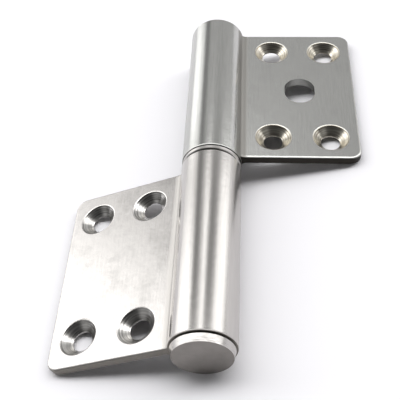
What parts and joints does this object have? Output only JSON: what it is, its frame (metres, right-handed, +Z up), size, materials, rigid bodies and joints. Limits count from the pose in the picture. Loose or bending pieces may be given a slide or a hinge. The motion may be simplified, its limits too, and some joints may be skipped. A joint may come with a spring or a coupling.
{
  "type": "lift-off flag hinge",
  "caption": "Heavy stainless steel lift-off flag hinge for a shutter or door, lying open, with countersunk screw holes.",
  "frame": {"origin": "on the floor under the middle of the whole hinge, pin head included", "axes": "+Z up, +Y along the pin from its head to its free end, +X from the pin towards the door leaf's outer edge"},
  "size_m": [0.0992, 0.1414, 0.02],
  "materials": {
    "frame_barrel": "fine polished",
    "frame_plate": "satin brushed",
    "door_barrel": "fine polished",
    "door_plate": "satin brushed",
    "hinge_pin": "fine turned",
    "thrust_washer": "fine turned"
  },
  "bodies": {
    "frame_side": {"frame_barrel": "frame_barrel", "frame_plate": "frame_plate", "hinge_pin": "hinge_pin"},
    "washer": {"thrust_washer": "thrust_washer"},
    "door_side": {"door_barrel": "door_barrel", "door_plate": "door_plate"}
  },
  "joints": [
    {"name": "swing", "type": "hinge", "parent": "frame_side", "child": "washer", "pos_m": [0, 0, 0.01], "axis": [0, -1, 0], "continuous": true},
    {"name": "lift_off", "type": "slide", "parent": "washer", "child": "door_side", "axis": [0, 1, 0], "range_m": [0, 0.055]}
  ]
}
